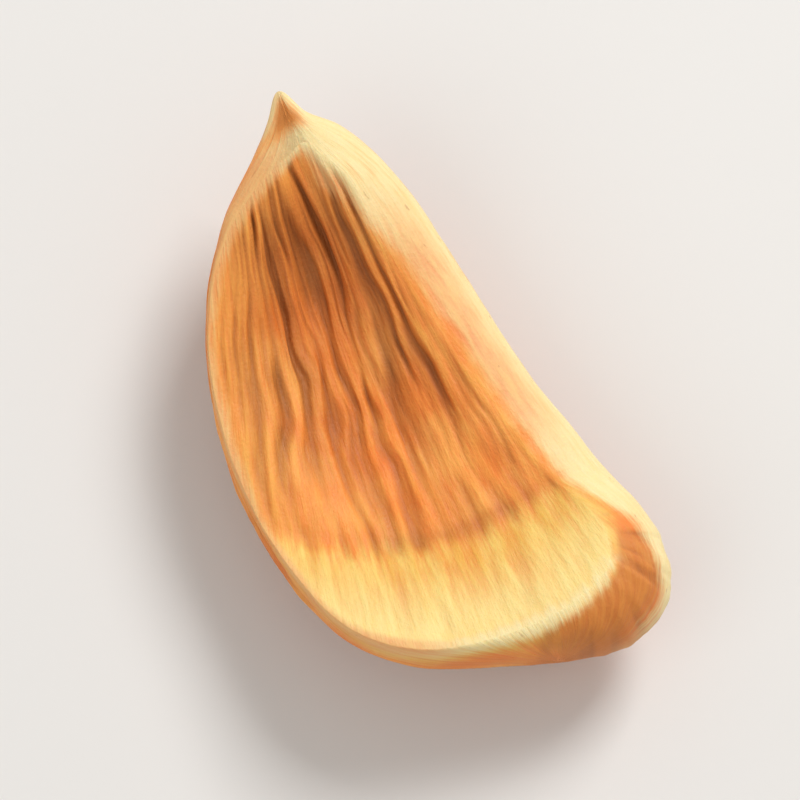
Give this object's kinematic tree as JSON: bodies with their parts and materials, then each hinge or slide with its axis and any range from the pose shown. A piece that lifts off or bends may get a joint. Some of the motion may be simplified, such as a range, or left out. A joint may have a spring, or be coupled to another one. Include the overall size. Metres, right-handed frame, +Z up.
{
  "type": "almond",
  "caption": "Shelled almond kernel in its wrinkled skin, with a boat-like hollow on top, a blunt stern and a pointed beak; it lies on a small flat spot on its rounded back.",
  "frame": {"origin": "middle of the kernel's bounding box in plan, on the surface that it rests on", "axes": "+X runs along the kernel to its pointed end, +Y to its fuller side, +Z up out of the hollow"},
  "size_m": [0.0246, 0.0144, 0.007],
  "materials": {
    "almond_skin": "dry matte papery seed skin, orange-brown, with darker grooves running lengthwise and pale cream rims"
  },
  "bodies": {
    "root": {"almond_kernel": "almond_skin"}
  },
  "joints": []
}
